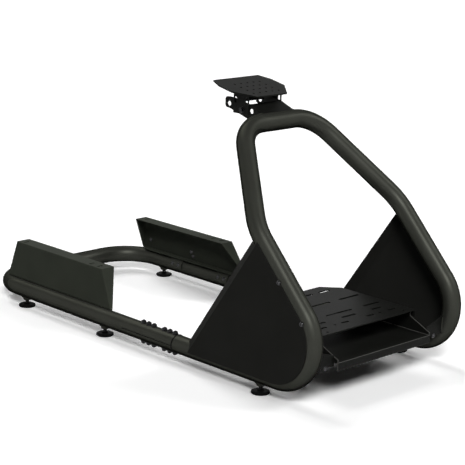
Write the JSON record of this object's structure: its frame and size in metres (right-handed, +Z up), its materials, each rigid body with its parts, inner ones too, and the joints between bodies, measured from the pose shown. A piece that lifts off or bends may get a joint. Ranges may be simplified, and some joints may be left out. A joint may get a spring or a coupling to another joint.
{
  "type": "sim racing cockpit frame",
  "caption": "Open tube frame for sim racing with a tilting wheel deck on an arch, a slotted pedal plate, seat brackets and a telescopic rear loop on levelling feet.",
  "frame": {"origin": "on the floor, at the middle of the frame's length and width", "axes": "+Z up, +Y to the back, +X to the driver's left"},
  "size_m": [0.6078, 1.3799, 0.7451],
  "materials": {
    "tube_coat": "satin black powder coat",
    "inner_tube_coat": "satin black coat, worn by sliding",
    "panel_coat": "matt black powder coat",
    "bracket_coat": "matt black powder coat",
    "plate_coat": "fine textured black powder coat",
    "foot_plastic": "black moulded plastic on a steel stem",
    "fastener_steel": "zinc plated and blackened steel screws, bolts and nuts"
  },
  "bodies": {
    "front_frame": {"side_tube_left": "tube_coat", "side_tube_right": "tube_coat", "wheel_hoop": "tube_coat", "connector_left": "inner_tube_coat", "connector_right": "inner_tube_coat", "side_panel_left": "panel_coat", "side_panel_right": "panel_coat", "pedal_plate": "plate_coat", "pedal_tray": "plate_coat", "tray_ear_front_left": "plate_coat", "tray_ear_front_right": "plate_coat", "tray_ear_rear_left": "plate_coat", "tray_ear_rear_right": "plate_coat", "wheel_arm": "plate_coat", "foot_front_left": "foot_plastic", "foot_front_right": "foot_plastic"},
    "rear_frame": {"rear_tube": "tube_coat", "seat_bracket_left": "bracket_coat", "seat_bracket_right": "bracket_coat", "seat_saddle_rear_left": "tube_coat", "seat_saddle_rear_right": "tube_coat", "seat_saddle_front_left": "tube_coat", "seat_saddle_front_right": "tube_coat", "foot_middle_left": "foot_plastic", "foot_middle_right": "foot_plastic", "foot_rear_left": "foot_plastic", "foot_rear_right": "foot_plastic"},
    "wheel_deck": {"wheel_deck": "plate_coat", "deck_ear_left": "plate_coat", "deck_ear_right": "plate_coat"}
  },
  "joints": [
    {"name": "rear_frame_slide", "type": "slide", "parent": "front_frame", "child": "rear_frame", "axis": [0, 1, 0], "range_m": [0, 0.14]},
    {"name": "wheel_deck_tilt", "type": "hinge", "parent": "front_frame", "child": "wheel_deck", "pos_m": [0, -0.17492, 0.674], "axis": [1, 0, 0], "range_deg": [-10, 15]}
  ]
}
